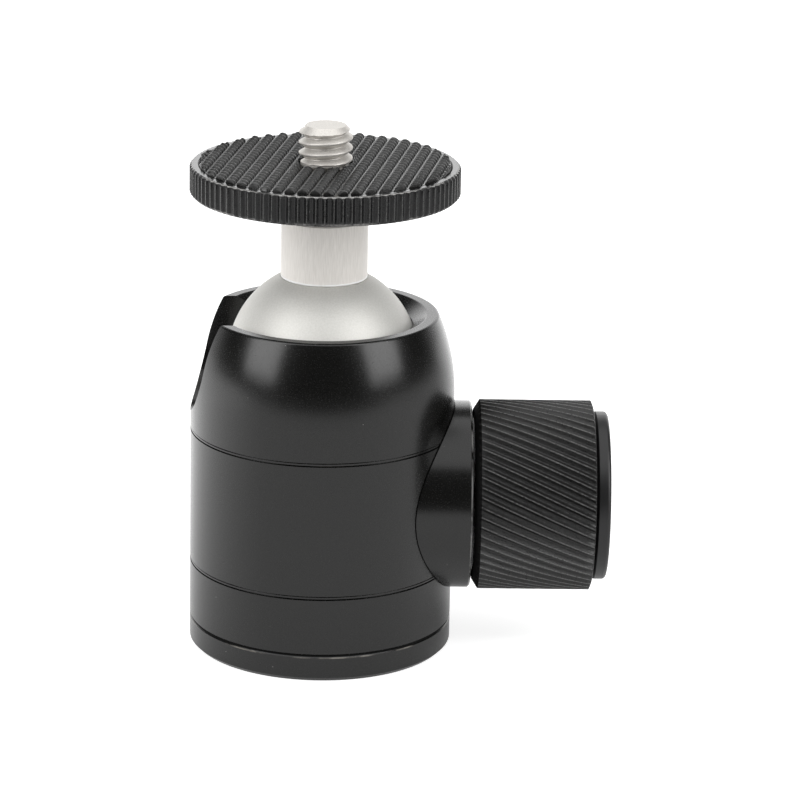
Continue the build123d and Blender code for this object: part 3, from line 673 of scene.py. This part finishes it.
def makeGrip(g):
    length, radius = g["length"], g["radius"]
    corners = [
        (g["bore"], 0), (radius - g["innerBevel"][1], 0, 2), (radius, g["innerBevel"][0], 10),
        (radius, length - g["outerBevel"][0], 26), (radius - g["outerBevel"][1], length, 8),
        (g["bore"], length, 2),
    ]
    twist = math.radians(g["twist"]) / length
    angles = ribAngles(g["ribs"], g["crestShare"], g["valleySteps"])
    blank = turnProfile("gripBlank", fillProfile(corners), angles, twist)
    sizes = {"Rib count": float(g["ribs"]), "Phase per metre": g["ribs"] * twist / fullTurn / mm,
             "Crest radius": radius * mm, "Flute depth": g["ribDepth"] * mm,
             "Crest share": g["crestShare"], "Floor share": 0.0, "Roundness": g["roundness"]}
    tree = makeRibTree(materials["grippyRubber"])
    piece = growMesh("ribbedGrip", blank, tree, sizes, g["sharpAngle"])
    place = Matrix.Translation((g["start"] * mm, 0, lockHeight * mm))
    piece.data.transform(place @ Matrix.Rotation(math.pi / 2, 4, "Y"))
    # the trimmed bevel beside the collar gets the dead-black matt rubber: its cut finish, and painted
    # shade from the collar
    piece.data.materials.append(materials["trimmedRubber"])
    bevelEnd = (g["start"] + g["innerBevel"][0] - g["trimMargin"]) * mm
    for face in piece.data.polygons:
        if face.center.x < bevelEnd:
            face.material_index = 1
    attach(piece, "knob")
    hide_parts("knob_grip")


makeGrip(grip)
print("knob grip made")

# Camera stud: 20 threads to the inch above the plate, plain inside the neck
stud = {
    "radius": studHigh.x / mm, "under": studLow.z / mm, "top": studHigh.z / mm,
    "shank": 2.97, "shankEnd": padHigh.z / mm, "threadStart": 57.9,  # plain below that height
    "runout": 0.1,  # mm below and above the pad's top, where the shank widens into the thread
    "pitch": 1.27, "threadDepth": 0.70, "crestShare": 0.16, "floorShare": 0.10,
    "roundness": 1.0,  # straight flanks; 2 gives round flutes
    "chamfer": 0.8, "ringsPerPitch": 24, "segments": 48, "sharpAngle": 40,
}


def makeStud(s):
    step = s["pitch"] / s["ringsPerPitch"]
    lowRings = round((s["shankEnd"] - s["threadStart"]) / step)
    highRings = round((s["top"] - s["chamfer"] - s["shankEnd"]) / step)
    corners = [
        (0, s["under"]), (s["shank"], s["under"], 1), (s["shank"], s["threadStart"], 1),
        (s["shank"], s["shankEnd"] - s["runout"], lowRings),
        (s["radius"], s["shankEnd"] + s["runout"], 3),
        (s["radius"], s["top"] - s["chamfer"], highRings),
        (s["radius"] - s["chamfer"], s["top"], 16), (0, s["top"], 1),
    ]
    blank = turnProfile("studBlank", fillProfile(corners), evenAngles(s["segments"]), closed=False)
    sizes = {"Rib count": 1.0, "Phase per metre": 1 / (s["pitch"] * mm),
             "Crest radius": s["radius"] * mm, "Flute depth": s["threadDepth"] * mm,
             "Crest share": s["crestShare"], "Floor share": s["floorShare"],
             "Roundness": s["roundness"]}
    tree = makeRibTree(materials["turnedStainless"])
    piece = growMesh("threadedStud", blank, tree, sizes, s["sharpAngle"])
    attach(piece, "neck")
    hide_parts("camera_stud")


makeStud(stud)
print("camera stud made")

# Pad: parallel ridges, each pinched along its length like a rope
pad = {
    "radius": padHigh.x / mm, "under": padLow.z / mm, "top": padHigh.z / mm,
    "ridgeHeight": 0.5, "pitch": 1.5, "ridgeShare": 0.86, "ridges": 19,
    "ribPitch": 1.15, "ribDepth": 1.0, "ribWaist": 0.16, "ribSlant": 0.45, "ribFullness": 0.8,
    "hole": 3.24, "lean": 10,  # degrees that the ridges are turned
    "rows": 180, "edgeColumns": 3, "sharpAngle": 50,
    "edgeGap": 0.02,  # mm between the last column and the pad's edge
    "weld": 0.0005,  # mm, points closer than this become one
    "flatMargin": 0.1,  # mm, points less than this below the flat are moved with the ridges
    "acrossRidge": (-1, -0.92, -0.75, -0.5, -0.2, 0.2, 0.5, 0.75, 0.92, 1),  # of half its width
}


def makePadBlank(p):
    half = p["ridgeShare"] * p["pitch"] / 2
    middle = (p["ridges"] - 1) / 2
    columns = [(k - middle) * p["pitch"] + share * half
               for k in range(p["ridges"]) for share in p["acrossRidge"]]
    edge = [columns[-1] + (p["radius"] - p["edgeGap"] - columns[-1]) * k / p["edgeColumns"]
            for k in range(1, p["edgeColumns"] + 1)]
    columns = [-u for u in reversed(edge)] + columns + edge
    flat = p["top"] - p["ridgeHeight"]
    work = bmesh.new()
    for side in (1, -1):
        grid = []
        for u in columns:
            inner = math.sqrt(max(p["hole"] ** 2 - u * u, 0))
            outer = math.sqrt(p["radius"] ** 2 - u * u)
            reach = [inner + (outer - inner) * t / p["rows"] for t in range(p["rows"] + 1)]
            grid.append([work.verts.new((u * mm, side * v * mm, flat * mm)) for v in reach])
        for left, right in zip(grid, grid[1:]):
            for t in range(p["rows"]):
                work.faces.new((left[t], right[t], right[t + 1], left[t + 1])[::side])
    bmesh.ops.remove_doubles(work, verts=work.verts, dist=p["weld"] * mm)
    rim = [e for e in work.edges if e.is_boundary]
    wall = bmesh.ops.extrude_edge_only(work, edges=rim)["geom"]
    low = [v for v in wall if isinstance(v, bmesh.types.BMVert)]
    for v in low:
        v.co.z = p["under"] * mm
    lowEdges = [e for e in wall if isinstance(e, bmesh.types.BMEdge)]
    bmesh.ops.triangle_fill(work, edges=lowEdges, use_beauty=False)
    bmesh.ops.recalc_face_normals(work, faces=work.faces)
    mesh = bpy.data.meshes.new("padBlank")
    work.to_mesh(mesh)
    work.free()
    return mesh


def makePadTree(material):
    tree, given = newGeometryTree("raiseRidges", {
        "Ridge pitch": "Float", "Ridge share": "Float", "Ridge height": "Float", "Rib pitch": "Float",
        "Rib depth": "Float", "Rib waist": "Float", "Rib slant": "Float", "Rib fullness": "Float",
        "Flat height": "Float", "Lean": "Float"})
    position = addNode(tree, "GeometryNodeInputPosition", {}, {}).outputs[0]
    axes = addNode(tree, "ShaderNodeSeparateXYZ", {}, {0: position}).outputs
    across = addNode(tree, "ShaderNodeMath", {"operation": "DIVIDE"},
                     {0: axes[0], 1: given["Ridge pitch"]}).outputs[0]
    offRidge = addNode(tree, "ShaderNodeMath", {"operation": "PINGPONG"},
                       {0: across, 1: 0.5}).outputs[0]
    side = addNode(tree, "ShaderNodeMath", {"operation": "WRAP"},
                   {0: across, 1: 0.5, 2: -0.5}).outputs[0]
    along = addNode(tree, "ShaderNodeMath", {"operation": "DIVIDE"},
                    {0: axes[1], 1: given["Rib pitch"]}).outputs[0]
    slanted = addNode(tree, "ShaderNodeMath", {"operation": "MULTIPLY_ADD"},
                      {0: side, 1: given["Rib slant"], 2: along}).outputs[0]
    offRib = addNode(tree, "ShaderNodeMath", {"operation": "PINGPONG"},
                     {0: slanted, 1: 0.5}).outputs[0]
    squared = addNode(tree, "ShaderNodeMath", {"operation": "POWER"}, {0: offRib, 1: 2.0}).outputs[0]
    inside = addNode(tree, "ShaderNodeMath", {"operation": "MULTIPLY_ADD"},
                     {0: squared, 1: -4.0, 2: 1.0}).outputs[0]  # 1 on a rib, 0 halfway to the next
    bead = addNode(tree, "ShaderNodeMath", {"operation": "POWER"},
                   {0: inside, 1: given["Rib fullness"]}).outputs[0]
    pinch = addNode(tree, "ShaderNodeMath", {"operation": "MULTIPLY_ADD"},
                    {0: bead, 1: given["Rib depth"], 2: 1.0}).outputs[0]
    size = addNode(tree, "ShaderNodeMath", {"operation": "SUBTRACT"},
                   {0: pinch, 1: given["Rib depth"]}).outputs[0]
    between = addNode(tree, "ShaderNodeMath", {"operation": "SUBTRACT"}, {0: 1.0, 1: bead}).outputs[0]
    waist = addNode(tree, "ShaderNodeMath", {"operation": "MULTIPLY"},
                    {0: between, 1: given["Rib waist"]}).outputs[0]
    width = addNode(tree, "ShaderNodeMath", {"operation": "SUBTRACT"}, {0: 0.5, 1: waist}).outputs[0]
    halfShare = addNode(tree, "ShaderNodeMath", {"operation": "MULTIPLY"},
                        {0: given["Ridge share"], 1: width}).outputs[0]
    flank = addNode(tree, "ShaderNodeMapRange", {},
                    {"Value": offRidge, "From Min": 0.0, "From Max": halfShare}).outputs[0]
    steep = addNode(tree, "ShaderNodeMath", {"operation": "POWER"}, {0: flank, 1: 2.0}).outputs[0]
    below = addNode(tree, "ShaderNodeMath", {"operation": "SUBTRACT"}, {0: 1.0, 1: steep}).outputs[0]
    rounded = addNode(tree, "ShaderNodeMath", {"operation": "SQRT"}, {0: below}).outputs[0]
    scaled = addNode(tree, "ShaderNodeMath", {"operation": "MULTIPLY"},
                     {0: rounded, 1: size}).outputs[0]
    lift = addNode(tree, "ShaderNodeMath", {"operation": "MULTIPLY"},
                   {0: scaled, 1: given["Ridge height"]}).outputs[0]
    onTop = addNode(tree, "ShaderNodeMath", {"operation": "GREATER_THAN"},
                    {0: axes[2], 1: given["Flat height"]}).outputs[0]
    raised = addNode(tree, "ShaderNodeMath", {"operation": "MULTIPLY"},
                     {0: lift, 1: onTop}).outputs[0]
    offset = addNode(tree, "ShaderNodeCombineXYZ", {}, {2: raised}).outputs[0]
    moved = addNode(tree, "GeometryNodeSetPosition", {},
                    {"Geometry": given["Geometry"], "Offset": offset})
    turn = addNode(tree, "ShaderNodeCombineXYZ", {}, {2: given["Lean"]}).outputs[0]
    turned = addNode(tree, "GeometryNodeTransform", {},
                     {"Geometry": moved.outputs[0], "Rotation": turn})
    endGeometryTree(tree, turned.outputs[0], material)
    return tree


def makePad(p):
    flat = p["top"] - p["ridgeHeight"]
    sizes = {"Ridge pitch": p["pitch"] * mm, "Ridge share": p["ridgeShare"],
             "Ridge height": p["ridgeHeight"] * mm, "Rib pitch": p["ribPitch"] * mm,
             "Rib depth": p["ribDepth"], "Rib waist": p["ribWaist"], "Rib slant": p["ribSlant"],
             "Rib fullness": p["ribFullness"], "Flat height": (flat - p["flatMargin"]) * mm,
             "Lean": -math.radians(p["lean"])}
    tree = makePadTree(materials["padRubber"])
    piece = growMesh("ridgedPad", makePadBlank(p), tree, sizes, p["sharpAngle"])
    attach(piece, "plate")
    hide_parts("plate_pad")


makePad(pad)
print("pad made")

# Base screws: M2, countersunk, with a hexagon socket, round the edge of the base plate
screw = {
    "head": 1.75, "shank": 1.0, "face": 0.1, "end": 8.6, "socket": 0.75, "socketDepth": 0.9,
    "edge": 0.08, "point": 0.3,  # mm, of the head's rim and of the shank's end
    "circle": 13.435, "count": 3, "start": math.pi,  # radians round to the first screw
    "segments": 36, "sharpAngle": 30,
}


def makeScrewBlank(s):
    cone = s["head"] - s["shank"]
    profile = [
        (0, s["face"] + s["socketDepth"]), (s["socket"], s["face"] + s["socketDepth"]),
        (s["socket"], s["face"]), (s["head"] - s["edge"], s["face"]),
        (s["head"], s["face"] + s["edge"]), (s["shank"], s["face"] + cone + s["edge"]),
        (s["shank"], s["end"] - s["point"]), (s["shank"] - s["point"], s["end"]), (0, s["end"]),
    ]
    mesh = turnProfile("screwBlank", profile, evenAngles(s["segments"]), closed=False)
    side, tolerance = fullTurn / 6, 0.01 * mm
    for v in mesh.vertices:  # the socket's two rings become hexagons
        offRing = abs(v.co.xy.length - s["socket"] * mm)
        if offRing < tolerance and v.co.z < (s["face"] + cone) * mm:
            angle = math.atan2(v.co.y, v.co.x) % side - side / 2
            v.co.xy *= math.cos(side / 2) / math.cos(angle)
    return mesh


def makeScrews(s):
    tree, given = newGeometryTree("placeScrews", {
        "Count": "Int", "Circle radius": "Float", "Start": "Float"})
    circle = addNode(tree, "GeometryNodeMeshCircle", {},
                     {"Vertices": given["Count"], "Radius": given["Circle radius"]})
    start = addNode(tree, "ShaderNodeCombineXYZ", {}, {2: given["Start"]}).outputs[0]
    turned = addNode(tree, "GeometryNodeTransform", {},
                     {"Geometry": circle.outputs[0], "Rotation": start})
    copies = addNode(tree, "GeometryNodeInstanceOnPoints", {},
                     {"Points": turned.outputs[0], "Instance": given["Geometry"]})
    endGeometryTree(tree, copies.outputs[0], materials["blackOxideSteel"])
    sizes = {"Count": s["count"], "Circle radius": s["circle"] * mm, "Start": s["start"]}
    piece = growMesh("baseScrews", makeScrewBlank(s), tree, sizes, s["sharpAngle"])
    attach(piece, "housing")
    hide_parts("base_screws")


makeScrews(screw)
print("base screws made")

# Thread inside the reducer bush: a low ridge, 20 turns to the inch, wound on the bore
thread = {
    "bore": 3.2, "pitch": 1.27, "ridge": 0.35, "sides": 4,
    "start": bushLow.z / mm + 1.5, "end": bushHigh.z / mm - 0.6,
    "pointsPerTurn": 40, "sharpAngle": 30,
}


def makeThread(t):
    tree, given = newGeometryTree("windThread", {
        "Turns": "Float", "Points per turn": "Int", "Bore radius": "Float", "Length": "Float",
        "Ridge height": "Float", "Ridge sides": "Int", "Start height": "Float"})
    path = addNode(tree, "GeometryNodeCurveSpiral", {},
                   {"Resolution": given["Points per turn"], "Rotations": given["Turns"],
                    "Start Radius": given["Bore radius"], "End Radius": given["Bore radius"],
                    "Height": given["Length"]}).outputs[0]
    section = addNode(tree, "GeometryNodeCurvePrimitiveCircle", {},
                      {"Resolution": given["Ridge sides"],
                       "Radius": given["Ridge height"]}).outputs[0]
    ridge = addNode(tree, "GeometryNodeCurveToMesh", {},
                    {"Curve": path, "Profile Curve": section, "Fill Caps": True}).outputs[0]
    start = addNode(tree, "ShaderNodeCombineXYZ", {}, {2: given["Start height"]}).outputs[0]
    placed = addNode(tree, "GeometryNodeTransform", {},
                     {"Geometry": ridge, "Translation": start})
    endGeometryTree(tree, placed.outputs[0], materials["turnedBrass"])
    length = t["end"] - t["start"]
    sizes = {"Turns": length / t["pitch"], "Points per turn": t["pointsPerTurn"],
             "Bore radius": t["bore"] * mm, "Length": length * mm, "Ridge height": t["ridge"] * mm,
             "Ridge sides": t["sides"], "Start height": t["start"] * mm}
    blank = bpy.data.meshes.new("threadBlank")
    piece = growMesh("boreThread", blank, tree, sizes, t["sharpAngle"])
    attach(piece, "housing")


makeThread(thread)
print("bore thread made")

# Turned rings: a band in each decorative groove, low enough to leave a line on each side of it,
# and a dead-black ring in the seam above the base plate, painted shade for the seam's gap
grooveBands = {
    "name": "grooveBands", "finish": "anodisedAluminium", "slot": "black_anodised",
    "radius": 15.76, "root": 15.3, "slope": 0.05,
    "low": grooveTops[0] - 0.33, "high": grooveTops[0] - 0.09,
    "count": 2, "spacing": grooveTops[1] - grooveTops[0], "segments": 240, "sharpAngle": 30,
}
# painted shade: a dead-black ring that fills the seam's V-gap so that it reads as a dark line
seamSeal = {
    "name": "seamSeal", "finish": "trimmedRubber", "slot": "grip_rubber",
    "radius": 15.69, "root": 15.4, "slope": 0.03,
    "low": seamHeight - 0.12, "high": seamHeight + 0.13,
    "count": 1, "spacing": 1.0, "segments": 240, "sharpAngle": 30,
}


def makeRings(r):
    profile = [(r["root"], r["low"]), (r["radius"], r["low"]), (r["radius"], r["high"] - r["slope"]),
               (r["radius"] - r["slope"], r["high"]), (r["root"], r["high"])]
    blank = turnProfile("ringBlank", profile, evenAngles(r["segments"]))
    tree, given = newGeometryTree("stackRings", {"Count": "Int", "Spacing": "Float"})
    step = addNode(tree, "ShaderNodeCombineXYZ", {}, {2: given["Spacing"]}).outputs[0]
    places = addNode(tree, "GeometryNodeMeshLine", {},
                     {"Count": given["Count"], "Offset": step})
    copies = addNode(tree, "GeometryNodeInstanceOnPoints", {},
                     {"Points": places.outputs[0], "Instance": given["Geometry"]})
    endGeometryTree(tree, copies.outputs[0], materials[r["finish"]])
    sizes = {"Count": r["count"], "Spacing": r["spacing"] * mm}
    piece = growMesh(r["name"], blank, tree, sizes, r["sharpAngle"])
    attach(piece, "housing")


makeRings(grooveBands)
makeRings(seamSeal)
print("rings of the housing made")

# Disc spring: a coned washer, which the brake cup comes down on
spring = {"thickness": 0.5, "cupTravel": 0.34, "segments": 120, "sharpAngle": 30}


def makeSpring(s):
    low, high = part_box("disc_spring")
    bottom, top, outer = low.z / mm, high.z / mm, high.x / mm
    inner = min(v.co.xy.length for v in cad["disc_spring"].data.vertices) / mm
    profile = [(outer, bottom), (outer, bottom + s["thickness"]),
               (inner, top), (inner, top - s["thickness"])]
    mesh = turnProfile("discSpring", profile, evenAngles(s["segments"]))
    mesh.materials.append(materials["machinedSteel"])
    smoothFaces(mesh, s["sharpAngle"])
    piece = addObject("discSpring", mesh)
    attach(piece, "housing")
    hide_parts("disc_spring")
    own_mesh(piece)


makeSpring(spring)
print("disc spring made")
